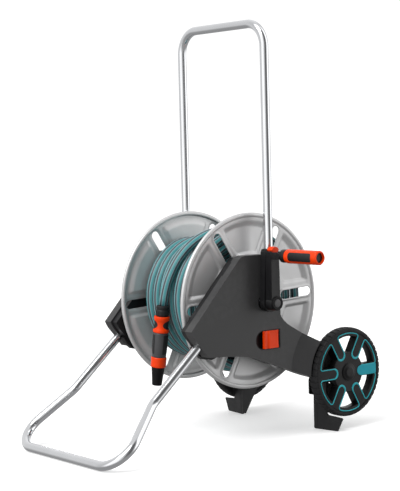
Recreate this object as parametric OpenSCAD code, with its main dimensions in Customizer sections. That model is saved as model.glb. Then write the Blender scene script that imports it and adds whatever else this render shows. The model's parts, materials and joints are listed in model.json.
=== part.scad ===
// Garden hose reel cart: a drum of hose between two side frames on two wheels,
// with a telescopic push handle, a tubular front foot and a folding crank grip.
// +X is the crank side, +Y the wheel side, +Z up. The origin is on the floor, on the
// symmetry plane, straight below the drum's axis. All sizes are in millimetres.

/* [Drum] */
// Height of the drum's axis above the floor
drum_z = 278; // [276:1:280]
// Outer radius of the two sheet-metal flanges
flange_r = 175; // [172:1:177]
// Thickness of the flange sheet
flange_sheet = 2; // [1.6:0.2:2.4]
// Radius of the hollow core that carries the hose
core_r = 63; // [58:1:63]
// Outer radius of the wound hose
winding_r = 128; // [110:1:128]

/* [Hose] */
// Outside diameter of the hose
hose_d = 18; // [16:1:18]

/* [Tubes] */
// Outside diameter of the handle and foot tubes
tube_d = 18; // [17:0.5:18]
// Wall of the handle and foot tubes
tube_wall = 1.2; // [1:0.1:2]
// Height of the centreline of the handle's top bar
handle_z = 830; // [760:5:880]
// Bend radius of the handle's corners
handle_bend = 48; // [40:1:60]
// Bend radius of the front foot's corners
foot_corner = 49.5; // [45:4.5:54]

/* [Wheels] */
// Radius of the tyres
tyre_r = 92; // [90:1:93]
// Number of spokes in each wheel
spokes = 6; // [5:1:7]

/* [Crank] */
// Radius of the turning grip
grip_r = 13.6; // [12:0.2:13.6]
// Distance from the symmetry plane to the end of the grip
grip_end_x = 306; // [290:1:330]

/* [Hidden] */
$fn = 96;
tube_r = tube_d / 2;
tube_x = 130;
handle_y = 23;
handle_low_z = 172;
shaft_r = 10;
running = 0.06;
nudge = 0.1;
// colours
silver = [0.79, 0.80, 0.81];
chrome = [0.86, 0.87, 0.88];
dark_grey = [0.30, 0.30, 0.31];
black = [0.09, 0.09, 0.10];
orange = [0.98, 0.27, 0.05];
teal = [0.05, 0.66, 0.74];
hose_grey = [0.42, 0.47, 0.48];
steel = [0.62, 0.63, 0.65];
// side cover: open rim, outer face and wall
cover_in = 122;
cover_out = 142;
cover_wall = 2.5;
// wheel axle
axle_y = 201;
axle_z = 118;
axle_r = 6;
wheel_in = 148;
wheel_out = 171;
// arm end round the axle, and the flare of the cover's arm over the wheel
arm_end_r = 27;
flare_out = 160;
flare_r_in = 135;
flare_r_out = 97;
pocket_r = 96;
// outline of the side cover in (y, z), clockwise from its front corner
cover_pts = [
    [-188, 236], [-64, 367], [-58, 371], [-50, 372.5], [2, 372.5], [22, 368], [35, 357], [41, 340],
    [41, 250], [44, 244], [50, 237], [58, 230], [66, 225], [93, 210], [140, 183.4],
    [214.3, 141.5], [193.2, 92.1], [113, 116], [90, 124], [57, 137], [36, 145], [10, 154],
    [-11, 162], [-29, 169], [-42, 172.5], [-63, 176], [-106, 180.5], [-148, 183], [-168, 208],
    [-177, 218], [-183, 226]
];
// side frame: inner face, thickness of its plate, and the edge of its ribs
frame_in = 106;
frame_plate = 3;
frame_out = 124;
frame_gap = 0.6;
frame_rim = 3;
// lower front corner of the frame, below the cover
frame_chin = [[-166, 202], [-158, 190], [-144, 178], [-120, 174], [-96, 182], [-110, 212]];
// braces of the frame, each from one point to another in (y, z)
frame_ribs = [
    [[0, 278], [-180, 234]], [[0, 278], [-60, 368]], [[0, 278], [-145, 190]], [[0, 278], [30, 360]],
    [[0, 278], [36, 150]], [[0, 278], [-40, 178]], [[0, 278], [60, 228]], [[40, 240], [201, 118]],
    [[36, 150], [201, 118]], [[60, 225], [60, 140]], [[100, 206], [92, 126]], [[60, 140], [100, 206]],
    [[92, 126], [146, 180]], [[-60, 368], [-100, 182]], [[-120, 305], [-145, 190]]
];
rib_w = 2.4;
// screws that hold the covers, in (y, z)
cover_screw_pts = [[-130, 198], [-60, 345], [-52, 194], [80, 168]];
// front foot: slope of its plane and its path in that plane, from the cover's edge
foot_slope = 40.5;
foot_y0 = -164;
foot_z0 = 203;
foot_in = -96;
foot_bend_v = 146;
foot_leg = 163;
foot_dir = [0.352, 0.936];
foot_knee = 44;
foot_clamp_v = [-70, -30];
// latch window in the covers
latch_y0 = -26;
latch_y1 = 39;
latch_z0 = 183;
latch_z1 = 222;
latch_pin_y = 34.8;
latch_pin_x = 137.5;
lever_y0 = -6;
lever_y1 = 30.8;
lever_x0 = 139.5;
lever_x1 = 145.4;
// drum
flange_x = 98.5;
slot_phase = 3;
slot_half = 9;
slot_r_in = 89;
slot_r_out = 154;
recess_depth = 5;
recess_side = 24;
recess_r_in = 95;
recess_r_out = 157;
winding_x = 90;
outlet_x = 78;
// hanging end of the hose
hang = [-5, -141.5, 274];
hang_front = 2.1;
hang_side = 6.9;
// route of the hose's free end, each point as [angle from +Y towards +Z, radius, x]: off the
// last turn, once round beside the flange, once across the winding and down the front
tail_lap = [
    [-600, 119, 80], [-580, 119, 80], [-560, 119, 80], [-540, 119.5, 80], [-520, 123, 80],
    [-500, 127.5, 80], [-480, 130, 80], [-460, 132, 80], [-440, 134, 80], [-420, 135, 80],
    [-400, 136, 80], [-380, 136.5, 80], [-360, 137, 80], [-340, 137.5, 80], [-320, 137.5, 80],
    [-300, 137.5, 80], [-280, 137.5, 80], [-260, 137.5, 80], [-240, 137.5, 79],
    [-220, 137.5, 77], [-200, 137.5, 74.5], [-180, 137.5, 71.5], [-160, 137.5, 68],
    [-140, 137.5, 64.5], [-120, 137.5, 61], [-100, 137.5, 57.5], [-80, 137.5, 54],
    [-60, 137.5, 50], [-40, 137.5, 45], [-20, 137.5, 40], [0, 137.5, 34.5], [20, 137.5, 29],
    [40, 137.5, 24.5], [60, 137.5, 20.5], [80, 137.5, 16.5], [100, 137.5, 12.5], [120, 137.5, 8.5],
    [140, 137.5, 4.5], [155, 137.5, 0.8], [165, 138.3, -1.4], [175, 140, -3.6]
];
tail_route = concat(
    [for (p = tail_lap) [p[2], p[1] * cos(p[0]), drum_z + p[1] * sin(p[0])]], [hang]
);
tail_sides = 12;
// crank
arm_in = 147;
arm_out = 178;
pin_x = 196;
pin_z = 372;
grip_y = -4;
ear_half = 7;
grip_x0 = 216;
spindle_r = 5;

// ---------- helpers ----------

function unit(v) = v / norm(v);

// inward normal of an edge of a clockwise outline
function inward(a, b) = unit([b[1] - a[1], a[0] - b[0]]);

// a clockwise outline moved inwards by d
function inset(p, d) = [
    for (i = [0:len(p) - 1])
        let (a = p[(i + len(p) - 1) % len(p)])
        let (b = p[i])
        let (c = p[(i + 1) % len(p)])
        let (n = inward(a, b) + inward(b, c))
        b + n * (d / (unit(n) * inward(a, b)) / norm(n))
];

// extrudes a (y, z) outline from x0 to x1
module along_x(x0, x1) {
    translate([x0, 0, 0])
        rotate([90, 0, 90])
            linear_extrude(x1 - x0)
                children();
}

// a cylinder along X between x0 and x1, on the axis through (y, z)
module rod_x(x0, x1, y, z, r) {
    translate([x0, y, z])
        rotate([0, 90, 0])
            cylinder(h = x1 - x0, r = r);
}

// turns a profile of (radius, x) about the X axis through (y, z)
module turned_x(y, z) {
    translate([0, y, z])
        rotate([0, 90, 0])
            rotate_extrude()
                children();
}

// the left side mirrors the right one
module on_side(s) {
    if (s < 0)
        mirror([1, 0, 0])
            children();
    else
        children();
}

module tube_profile() {
    difference() {
        circle(r = tube_r, $fn = 48);
        circle(r = tube_r - tube_wall, $fn = 48);
    }
}

// a straight tube in the XY plane from p to q
module tube_line(p, q) {
    translate([p[0], p[1], 0])
        rotate([0, 0, atan2(q[1] - p[1], q[0] - p[0])])
            rotate([0, 90, 0])
                linear_extrude(norm(q - p))
                    tube_profile();
}

// a bent tube in the XY plane, about c, between the directions d0 and d1 through dm
module tube_bend(c, r, d0, dm, d1) {
    translate([c[0], c[1], 0])
        intersection() {
            rotate_extrude()
                translate([r, 0])
                    tube_profile();
            translate([0, 0, -20])
                linear_extrude(40)
                    polygon([[0, 0], d0 * 100, dm * 100, d1 * 100]);
        }
}

// the space a straight tube needs, with clearance c
module handle_clear(c) {
    translate([tube_x, handle_y, 20])
        cylinder(h = 400, r = tube_r + c);
}

// the frame of the front foot's plane
module foot_plane() {
    translate([0, foot_y0, foot_z0])
        rotate([180 + foot_slope, 0, 0])
            children();
}

module foot_clear(c) {
    foot_plane()
        translate([tube_x, foot_in - 4, 0])
            rotate([-90, 0, 0])
                cylinder(h = 160, r = tube_r + c);
}

// the frame of the hanging hose end, with +Z pointing down along it
module hanging() {
    translate(hang)
        rotate([180 - hang_front, hang_side, 0])
            children();
}

// ---------- side covers ----------

module cover_shape(d) {
    polygon(inset(cover_pts, d));
    translate([axle_y, axle_z])
        circle(r = arm_end_r - d);
}

module cover_mass(d) {
    along_x(cover_in - (d > 0 ? 1 : 0), cover_out - d)
        cover_shape(d);
    intersection() {
        along_x(cover_out - d - 0.5, flare_out - d)
            cover_shape(d);
        translate([cover_out - d, axle_y, axle_z])
            rotate([0, 90, 0])
                cylinder(h = flare_out - cover_out, r1 = flare_r_in - d, r2 = flare_r_out - d);
    }
}

module latch_window(d) {
    r = (latch_z1 - latch_z0) / 2 - d;
    translate([latch_y0 + r + d, (latch_z0 + latch_z1) / 2])
        circle(r = r);
    translate([latch_y0 + r + d, latch_z0 + d])
        square([latch_y1 - latch_y0 - r - 2 * d, 2 * r]);
}

module side_cover(s) {
    color(dark_grey)
        on_side(s) {
            difference() {
                cover_mass(0);
                difference() {
                    cover_mass(cover_wall);
                    rod_x(cover_out - nudge, flare_out, axle_y, axle_z, pocket_r + cover_wall);
                }
                rod_x(cover_out, flare_out + 1, axle_y, axle_z, pocket_r);
                handle_clear(0.4);
                foot_clear(0.4);
                // latch window, drum shaft and axle
                along_x(cover_out - 5, cover_out + 1)
                    latch_window(0);
                rod_x(cover_out - 5, cover_out + 1, 0, drum_z, 17);
                rod_x(cover_out - 5, cover_out + 1, axle_y, axle_z, axle_r + 0.5);
                // slit in the front wall and notch under the handle tube
                along_x(cover_in - 1, cover_in + 3)
                    polygon([[-95, 338], [-71, 363], [-63, 352], [-87, 329]]);
                along_x(cover_in - 1, cover_in + 7)
                    translate([12, 136])
                        square([37, 24]);
            }
            // screw bosses inside
            for (p = cover_screw_pts)
                difference() {
                    rod_x(frame_out, cover_out - cover_wall + nudge, p[0], p[1], 4.5);
                    rod_x(frame_out - 1, 136, p[0], p[1], 1.6);
                }
        }
}

module side_cover_right() {
    side_cover(1);
}

module side_cover_left() {
    side_cover(-1);
}

module cover_screws() {
    color(steel)
        for (s = [-1, 1])
            on_side(s)
                for (p = cover_screw_pts) {
                    rod_x(frame_in - 2, frame_in, p[0], p[1], 3.2);
                    rod_x(frame_in - nudge, 135, p[0], p[1], 1.6);
                }
}

// ---------- side frames ----------

module frame_shape(d) {
    polygon(inset(cover_pts, cover_wall + frame_gap + d));
    translate([axle_y, axle_z])
        circle(r = arm_end_r - cover_wall - frame_gap - d);
}

module brace(p, q) {
    translate(p)
        rotate(atan2(q[1] - p[1], q[0] - p[0]))
            translate([0, -rib_w / 2])
                square([norm(q - p), rib_w]);
}

module side_frame(s) {
    color(black)
        on_side(s)
            difference() {
                union() {
                    along_x(frame_in, frame_in + frame_plate)
                        frame_shape(0);
                    along_x(frame_in + 1, frame_out)
                        difference() {
                            frame_shape(0);
                            frame_shape(frame_rim);
                        }
                    along_x(frame_in + 2, frame_out - 6)
                        intersection() {
                            frame_shape(1);
                            for (b = frame_ribs)
                                brace(b[0], b[1]);
                        }
                    // chin under the front foot's tube
                    along_x(frame_in + 1.5, frame_in + 14)
                        polygon(frame_chin);
                    // bearing, axle and screw bosses
                    rod_x(frame_in + 0.5, frame_out + 4, 0, drum_z, 21);
                    rod_x(frame_in + 0.5, cover_out - cover_wall - 0.5, axle_y, axle_z, 14);
                    for (p = cover_screw_pts)
                        rod_x(frame_in + 0.5, frame_out - 0.5, p[0], p[1], 5);
                    // clamp blocks round the front foot's tube
                    foot_plane()
                        for (v = foot_clamp_v)
                            translate([frame_in + 1, v - 7, -13])
                                cube([tube_x + 6 - frame_in, 14, 26]);
                }
                rod_x(frame_in - 1, frame_out + 5, 0, drum_z, 16);
                rod_x(frame_in - 1, cover_out, axle_y, axle_z, axle_r);
                for (p = cover_screw_pts)
                    rod_x(frame_in - 1, frame_out + 1, p[0], p[1], 1.6);
                handle_clear(0.5);
                foot_clear(0);
                foot_plane()
                    for (v = foot_clamp_v)
                        translate([frame_in - 1, v, 0])
                            rotate([0, 90, 0])
                                cylinder(h = 40, r = 2, $fn = 32);
                for (p = [[172, 112], [190, 132]])
                    rod_x(frame_in - 1, frame_in + 9, p[0], p[1], 1.8);
            }
}

module side_frame_right() {
    side_frame(1);
}

module side_frame_left() {
    side_frame(-1);
}

module hub_bush(s) {
    color([0.16, 0.16, 0.17])
        on_side(s)
            turned_x(0, drum_z)
                polygon([
                    [shaft_r + running, 103], [20, 103], [20, 106], [16, 106], [16, 120],
                    [shaft_r + running, 120]
                ]);
}

module hub_bush_right() {
    hub_bush(1);
}

module hub_bush_left() {
    hub_bush(-1);
}

// ---------- handle ----------

module handle_bow() {
    top = handle_z;
    corner = handle_bend;
    color(chrome)
        translate([0, handle_y, 0])
            rotate([90, 0, 0])
                for (s = [-1, 1])
                    mirror([s < 0 ? 1 : 0, 0, 0]) {
                        tube_line([tube_x, handle_low_z], [tube_x, top - corner]);
                        tube_bend([tube_x - corner, top - corner], corner, [1, 0], [1, 1], [0, 1]);
                        tube_line([tube_x - corner, top], [0, top]);
                    }
}

module handle_plugs() {
    color(black)
        for (s = [-1, 1])
            translate([s * tube_x, handle_y, handle_low_z - 3]) {
                cylinder(h = 3, r = tube_r - 0.2, $fn = 48);
                cylinder(h = 15, r = tube_r - tube_wall - 0.05, $fn = 48);
            }
}

// plastic guides in which the handle's legs slide
module handle_guides() {
    color([0.16, 0.16, 0.17])
        for (s = [-1, 1])
            on_side(s)
                for (z = [[163, 176], [314, 334]])
                    difference() {
                        translate([frame_in + frame_plate, handle_y - 12.5, z[0]])
                            cube([cover_out - cover_wall - frame_in - frame_plate - nudge,
                                24, z[1] - z[0]]);
                        translate([tube_x, handle_y, z[0] - 1])
                            cylinder(h = 40, r = tube_r + running);
                        along_x(frame_in, frame_out - 6)
                            for (b = frame_ribs)
                                brace(b[0], b[1]);
                    }
}

// ---------- latches ----------

module latch_housing(s) {
    color(black)
        on_side(s)
            difference() {
                union() {
                    along_x(cover_out - 9, cover_out - 0.4)
                        difference() {
                            latch_window(0);
                            latch_window(1.8);
                        }
                    along_x(cover_out - 10.5, cover_out - 9)
                        latch_window(0);
                }
                handle_clear(0.4);
                // holes of the lever's pin
                translate([latch_pin_x, latch_pin_y, latch_z0])
                    cylinder(h = latch_z1 - latch_z0, r = 1.5, $fn = 32);
                translate([cover_out - 12, handle_y - tube_r - 0.4, latch_z0 - 1])
                    cube([9, 2 * tube_r + 0.8, latch_z1 - latch_z0 + 2]);
            }
}

module latch_housing_right() {
    latch_housing(1);
}

module latch_housing_left() {
    latch_housing(-1);
}

module latch_pin(s) {
    color(steel)
        on_side(s)
            translate([latch_pin_x, latch_pin_y, latch_z0 + 0.4])
                cylinder(h = latch_z1 - latch_z0 - 0.8, r = 1.5, $fn = 32);
}

module latch_pin_right() {
    latch_pin(1);
}

module latch_pin_left() {
    latch_pin(-1);
}

// torsion spring round the lever's pin
module latch_spring(s) {
    color(steel)
        on_side(s)
            translate([latch_pin_x, latch_pin_y, (latch_z0 + latch_z1) / 2])
                for (i = [-1:1])
                    translate([0, 0, i * 1.1])
                        rotate_extrude($fn = 32)
                            translate([1.95, 0])
                                circle(r = 0.4, $fn = 16);
}

module latch_spring_right() {
    latch_spring(1);
}

module latch_spring_left() {
    latch_spring(-1);
}

module latch_lever(s) {
    z0 = latch_z0 + 2;
    height = latch_z1 - latch_z0 - 4;
    color(orange)
        on_side(s)
            difference() {
                union() {
                    translate([lever_x0, lever_y0, z0])
                        cube([lever_x1 - lever_x0, lever_y1 - lever_y0, height]);
                    // a lug with the bearing of the pin at each end
                    for (z = [z0, z0 + height - 5]) {
                        translate([lever_x0, lever_y1 - nudge, z])
                            cube([2, latch_pin_y - lever_y1 + nudge, 5]);
                        translate([latch_pin_x, latch_pin_y - 2, z])
                            cube([lever_x0 + 1 - latch_pin_x, 3, 5]);
                        translate([latch_pin_x, latch_pin_y, z])
                            cylinder(h = 5, r = 2, $fn = 48);
                    }
                }
                translate([latch_pin_x, latch_pin_y, z0 - 1])
                    cylinder(h = height + 2, r = 1.5 + running, $fn = 48);
                // finger groove
                translate([lever_x1 + 4.5, lever_y0 + 9, z0 - 1])
                    cylinder(h = height + 2, r = 6, $fn = 48);
            }
}

module latch_lever_right() {
    latch_lever(1);
}

module latch_lever_left() {
    latch_lever(-1);
}

// ---------- front foot ----------

module foot_bow() {
    dir = foot_dir;
    knee_t = foot_knee * (1 - dir[1]) / dir[0];
    corner_t = foot_corner * (1 + dir[0]) / dir[1];
    knee = [tube_x, foot_bend_v];
    corner = knee + dir * foot_leg;
    color(chrome)
        foot_plane()
            for (s = [-1, 1])
                mirror([s < 0 ? 1 : 0, 0, 0]) {
                    tube_line([tube_x, foot_in], [tube_x, foot_bend_v - knee_t]);
                    tube_bend([tube_x + foot_knee, foot_bend_v - knee_t], foot_knee,
                        [-dir[1], dir[0]], [-1, 0.2], [-1, 0]);
                    tube_line(knee + dir * knee_t, corner - dir * corner_t);
                    tube_bend([corner[0] - corner_t, corner[1] - foot_corner], foot_corner,
                        [dir[1], -dir[0]], [1, 0.8], [0, 1]);
                    tube_line([corner[0] - corner_t, corner[1]], [0, corner[1]]);
                }
}

module foot_clamp_screws() {
    color(steel)
        for (s = [-1, 1])
            on_side(s)
                foot_plane()
                    for (v = foot_clamp_v)
                        translate([frame_in - 2, v, 0])
                            rotate([0, 90, 0]) {
                                cylinder(h = 2, r = 4, $fn = 32);
                                cylinder(h = tube_x - tube_r - frame_in + 2, r = 2, $fn = 32);
                            }
}

// ---------- rear feet ----------

module rear_foot(s) {
    color(black)
        on_side(s) {
            // front plate, swept back towards its outer end
            intersection() {
                linear_extrude(120)
                    polygon([[113, 154.3], [185, 165], [185, 168.5], [113, 157.8]]);
                translate([0, 200, 0])
                    rotate([90, 0, 0])
                        linear_extrude(60)
                            polygon([[113, 2], [115, 0], [172, 0], [173.5, 3], [185, 26], [184, 28],
                                [149, 31], [146, 34], [146, 98], [113, 98]]);
            }
            // inner web
            along_x(118, 121)
                polygon([[155, 2], [157, 0], [168, 0], [195, 41], [202, 51], [206, 62], [206, 88],
                    [155, 98]]);
            // stiffening ribs between web and plate
            for (z = [0, 30, 62])
                translate([0, 0, z])
                    linear_extrude(2.5)
                        polygon([[119, 156], [z > 20 ? 140 : 168, z > 20 ? 159 : 163], [121, 168 + z / 2]]);
            // fixing plate on the frame's inner face, and its shelf
            along_x(103, 106)
                polygon([[150, 72], [154, 70], [206, 70], [206, 96], [196, 140], [182, 140], [158, 122],
                    [150, 100]]);
            translate([103, 154, 70])
                cube([16, 50, 3]);
        }
}

module rear_foot_right() {
    difference() {
        rear_foot(1);
        rear_foot_holes(1);
    }
}

module rear_foot_left() {
    difference() {
        rear_foot(-1);
        rear_foot_holes(-1);
    }
}

module rear_foot_holes(s) {
    on_side(s) {
        for (p = [[172, 112], [190, 132]])
            rod_x(102, 107, p[0], p[1], 1.8);
        rod_x(102, 107, axle_y, axle_z, 9);
    }
}

module foot_screws() {
    color(steel)
        for (s = [-1, 1])
            on_side(s)
                for (p = [[172, 112], [190, 132]]) {
                    rod_x(101, 103, p[0], p[1], 3.6);
                    rod_x(102.9, 114, p[0], p[1], 1.8);
                }
}

// ---------- wheels ----------

module wheel_axle() {
    color(steel)
        rod_x(-170, 170, axle_y, axle_z, axle_r);
}

module axle_clips() {
    color(steel)
        for (s = [-1, 1])
            on_side(s)
                turned_x(axle_y, axle_z)
                    polygon([[axle_r, 167.5], [9.5, 167.5], [9.5, 168.5], [axle_r, 169.5]]);
}

module tyre(s) {
    rim_r = tyre_r - 9;
    color(black)
        on_side(s)
            turned_x(axle_y, axle_z)
                polygon([
                    [rim_r, wheel_in], [tyre_r - 4, wheel_in], [tyre_r - 1, wheel_in + 2],
                    [tyre_r, wheel_in + 6], [tyre_r, wheel_out - 6], [tyre_r - 1, wheel_out - 2],
                    [tyre_r - 4, wheel_out], [rim_r, wheel_out]
                ]);
}

// one opening between two spokes
module spoke_gap(half, r_in, r_out) {
    step = 180 / spokes;
    a_in = step - asin(half / r_in);
    a_out = step - asin(half / (r_out + 6));
    difference() {
        intersection() {
            circle(r = r_out);
            polygon([
                [(r_in - 1) * cos(a_in), (r_in - 1) * sin(a_in)],
                [(r_out + 6) * cos(a_out), (r_out + 6) * sin(a_out)],
                [(r_out + 6) * cos(a_out), -(r_out + 6) * sin(a_out)],
                [(r_in - 1) * cos(a_in), -(r_in - 1) * sin(a_in)]
            ]);
        }
        circle(r = r_in);
    }
}

module rim(s) {
    color(black)
        on_side(s)
            difference() {
                union() {
                    rod_x(wheel_in + 2, wheel_out - 1, axle_y, axle_z, tyre_r - 9);
                    rod_x(cover_out + 1.5, wheel_out - 4, axle_y, axle_z, 20);
                }
                along_x(wheel_in, wheel_out)
                    translate([axle_y, axle_z])
                        for (i = [0:spokes - 1])
                            rotate((i + 0.5) * 360 / spokes)
                                spoke_gap(12.5, 41, tyre_r - 18);
                rod_x(cover_out, wheel_out, axle_y, axle_z, axle_r + running);
                rod_x(wheel_out - 4, wheel_out, axle_y, axle_z, 12);
            }
}

module accent(s) {
    color(teal)
        on_side(s)
            along_x(wheel_out - 1, wheel_out - 0.2)
                translate([axle_y, axle_z]) {
                    translate([35, 0])
                        circle(r = 10);
                    translate([35, -10])
                        square([tyre_r - 12.5 - 35, 20]);
                }
}

module hub_cap(s) {
    color(black)
        on_side(s)
            turned_x(axle_y, axle_z)
                polygon([[0, 174], [9, 174], [13, 172.5], [18, 171.5], [18, 170], [11.9, 170],
                    [11.9, 168.6], [10.4, 168.6], [10.4, 171.5], [0, 171.5]]);
}

module tyre_right() {
    tyre(1);
}

module tyre_left() {
    tyre(-1);
}

module rim_right() {
    rim(1);
}

module rim_left() {
    rim(-1);
}

module accent_right() {
    accent(1);
}

module accent_left() {
    accent(-1);
}

module hub_cap_right() {
    hub_cap(1);
}

module hub_cap_left() {
    hub_cap(-1);
}

// ---------- water inlet, on the side away from the crank ----------

module inlet_elbow() {
    color(black)
        difference() {
            union() {
                rod_x(-168, -cover_out - 0.3, 0, drum_z, 16);
                rod_x(-cover_out - 3.3, -cover_out, 0, drum_z, 21);
                translate([-156, 0, drum_z - 30])
                    cylinder(h = 30, r = 11);
            }
            rod_x(-164.2, -cover_out + 1, 0, drum_z, shaft_r + running);
            translate([-156, 0, drum_z - 31])
                cylinder(h = 31, r = 6.5);
        }
}

// two O-rings in the grooves of the shaft
module inlet_seals() {
    color([0.05, 0.05, 0.05])
        for (x = [-145.5, -149.5])
            translate([x, 0, drum_z])
                rotate([0, 90, 0])
                    rotate_extrude($fn = 48)
                        translate([shaft_r - 0.7, 0])
                            circle(r = 0.65, $fn = 16);
}

// male plug for a click-on hose connector
module inlet_connector() {
    color(orange)
        translate([-156, 0, drum_z - 52])
            rotate_extrude()
                polygon([[4.5, 0], [7.6, 0], [8.3, 1.5], [8.3, 7], [6.9, 8.5], [6.9, 10.5], [8.3, 12],
                    [8.3, 18], [11, 19], [11, 22], [6.5, 22], [6.5, 27], [4.5, 27]]);
}

// ---------- drum ----------

module stadium(half, r0, r1) {
    translate([r0, 0])
        circle(r = half);
    translate([r1, 0])
        circle(r = half);
    translate([r0, -half])
        square([r1 - r0, 2 * half]);
}

// pressed recess between two slots, with sides parallel to the slots
module recess(d) {
    side = recess_side + d;
    far = recess_r_out + 10;
    a_in = 30 - asin(side / (recess_r_in + d));
    a_out = 30 - asin(side / far);
    difference() {
        intersection() {
            circle(r = recess_r_out - d);
            polygon([
                [(recess_r_in - 2) * cos(a_in), (recess_r_in - 2) * sin(a_in)],
                [far * cos(a_out), far * sin(a_out)],
                [far * cos(a_out), -far * sin(a_out)],
                [(recess_r_in - 2) * cos(a_in), -(recess_r_in - 2) * sin(a_in)]
            ]);
        }
        circle(r = recess_r_in + d);
    }
}

module drum_flange(s) {
    low = flange_x - recess_depth - flange_sheet;
    color(silver)
        on_side(s)
            difference() {
                union() {
                    rod_x(flange_x - flange_sheet, flange_x, 0, drum_z, flange_r - 3.5);
                    turned_x(0, drum_z)
                        translate([flange_r - 3.5, flange_x - 1.5])
                            circle(r = 3.5, $fn = 32);
                    along_x(low, flange_x)
                        translate([0, drum_z])
                            for (i = [0:5])
                                rotate(slot_phase + 30 + i * 60)
                                    recess(0);
                    // raised rims of the slots
                    along_x(flange_x - nudge, flange_x + 1.5)
                        translate([0, drum_z])
                            for (i = [0:5])
                                rotate(slot_phase + i * 60)
                                    stadium(slot_half + 2.5, slot_r_in, slot_r_out);
                }
                along_x(low - 1, flange_x + 3)
                    translate([0, drum_z])
                        for (i = [0:5])
                            rotate(slot_phase + i * 60)
                                stadium(slot_half, slot_r_in, slot_r_out);
                along_x(low + flange_sheet, flange_x + 1)
                    translate([0, drum_z])
                        for (i = [0:5])
                            rotate(slot_phase + 30 + i * 60)
                                recess(flange_sheet);
                rod_x(flange_x - 5, flange_x + 2, 0, drum_z, shaft_r);
                for (i = [0:5])
                    rod_x(flange_x - 5, flange_x + 2, 50 * cos(i * 60 + 30),
                        drum_z + 50 * sin(i * 60 + 30), 2.2);
            }
}

module drum_flange_right() {
    drum_flange(1);
}

module drum_flange_left() {
    drum_flange(-1);
}

module drum_core() {
    end = flange_x - flange_sheet;
    color(black)
        difference() {
            rod_x(-end, end, 0, drum_z, core_r);
            rod_x(-end + 3.5, end - 3.5, 0, drum_z, core_r - 2.5);
            rod_x(-end - 1, end + 1, 0, drum_z, shaft_r);
            for (i = [0:5])
                rod_x(-end - 1, end + 1, 50 * cos(i * 60 + 30), drum_z + 50 * sin(i * 60 + 30), 2.2);
            translate([outlet_x, 0, drum_z + 20])
                cylinder(h = 60, r = 9.1);
        }
}

module drum_shaft() {
    color(steel)
        difference() {
            rod_x(-164, 166, 0, drum_z, shaft_r);
            // water way from the inlet to the outlet
            rod_x(-165, outlet_x + 6, 0, drum_z, 6.5);
            translate([outlet_x, 0, drum_z])
                cylinder(h = 20, r = 5);
            translate([-156, 0, drum_z - 20])
                cylinder(h = 20, r = 5);
            for (x = [-145.5, -149.5])
                turned_x(0, drum_z)
                    translate([shaft_r - 1.4, x - 0.8])
                        square([3, 1.6]);
            rod_x(140, 167, 0, drum_z, 3);
        }
}

// water way from the shaft to the start of the hose
module drum_outlet() {
    color(black)
        difference() {
            union() {
                rod_x(outlet_x - 13, outlet_x + 13, 0, drum_z, 14);
                translate([outlet_x, 0, drum_z])
                    cylinder(h = core_r - 0.4, r = 9);
            }
            rod_x(outlet_x - 14, outlet_x + 14, 0, drum_z, shaft_r);
            translate([outlet_x, 0, drum_z])
                cylinder(h = 70, r = 5);
        }
}

module flange_screws() {
    color(steel)
        for (s = [-1, 1])
            on_side(s)
                for (i = [0:5]) {
                    y = 50 * cos(i * 60 + 30);
                    z = drum_z + 50 * sin(i * 60 + 30);
                    rod_x(flange_x, flange_x + 2.2, y, z, 4.2);
                    rod_x(flange_x - 6, flange_x + nudge, y, z, 2.2);
                }
}

// ---------- hose ----------

// outer shape of the wound hose
module hose_winding() {
    soft = hose_d / 2;
    color(hose_grey)
        turned_x(0, drum_z)
            union() {
                translate([core_r, -winding_x])
                    square([winding_r - soft - core_r, 2 * winding_x]);
                translate([core_r, -winding_x + soft])
                    square([winding_r - core_r, 2 * (winding_x - soft)]);
                for (s = [-1, 1])
                    translate([winding_r - soft, s * (winding_x - soft)])
                        circle(r = soft, $fn = 48);
            }
}

function tail_dir(i) = unit(
    tail_route[min(i + 1, len(tail_route) - 1)] - tail_route[max(i - 1, 0)]
);

function tail_ring(i) =
    let (t = tail_dir(i))
    let (a = unit(cross(t, [1, 0, 0])))
    let (b = cross(t, a))
    [
        for (k = [0:tail_sides - 1])
            tail_route[i] + hose_d / 2 * (a * cos(k * 360 / tail_sides) + b * sin(k * 360 / tail_sides))
    ];

// free stretch of the hose, from the winding to the connector
module hose_tail() {
    rings = len(tail_route);
    n = tail_sides;
    color(hose_grey)
        polyhedron(
            points = [for (i = [0:rings - 1]) for (p = tail_ring(i)) p],
            faces = concat(
                [[for (k = [0:n - 1]) n - 1 - k]],
                [for (i = [0:rings - 2]) for (k = [0:n - 1])
                    [i * n + k, i * n + (k + 1) % n, (i + 1) * n + (k + 1) % n]],
                [for (i = [0:rings - 2]) for (k = [0:n - 1])
                    [i * n + k, (i + 1) * n + (k + 1) % n, (i + 1) * n + k]],
                [[for (k = [0:n - 1]) (rings - 1) * n + k]]
            )
        );
}

module hose_nut() {
    color([0.16, 0.16, 0.17])
        hanging()
            rotate_extrude()
                polygon([[0, 0.2], [11, 0.2], [12.7, 1.6], [12.7, 6], [12, 7], [12, 9], [12.7, 10],
                    [12.7, 20.4], [11.8, 21.8], [0, 21.8]]);
}

module hose_connector() {
    color(orange)
        hanging()
            difference() {
                rotate_extrude()
                    polygon([[0, 22], [14.8, 22], [15.8, 23], [15.8, 28], [14.2, 33], [13.8, 38], [14.4, 45],
                        [16.2, 50], [16.2, 53.5], [15.2, 54.6], [0, 54.6]]);
                for (a = [0, 180])
                    rotate([0, 0, a])
                        translate([17.3, 0, 38.5])
                            sphere(r = 6.5, $fn = 48);
            }
}

module nozzle_body() {
    color(dark_grey)
        hanging()
            rotate_extrude()
                polygon([[0, 55], [14.6, 55], [15.6, 56.5], [15.4, 66], [15, 84], [14.2, 104.6],
                    [10, 104.6], [10, 122], [8.6, 123], [0, 123]]);
}

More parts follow.
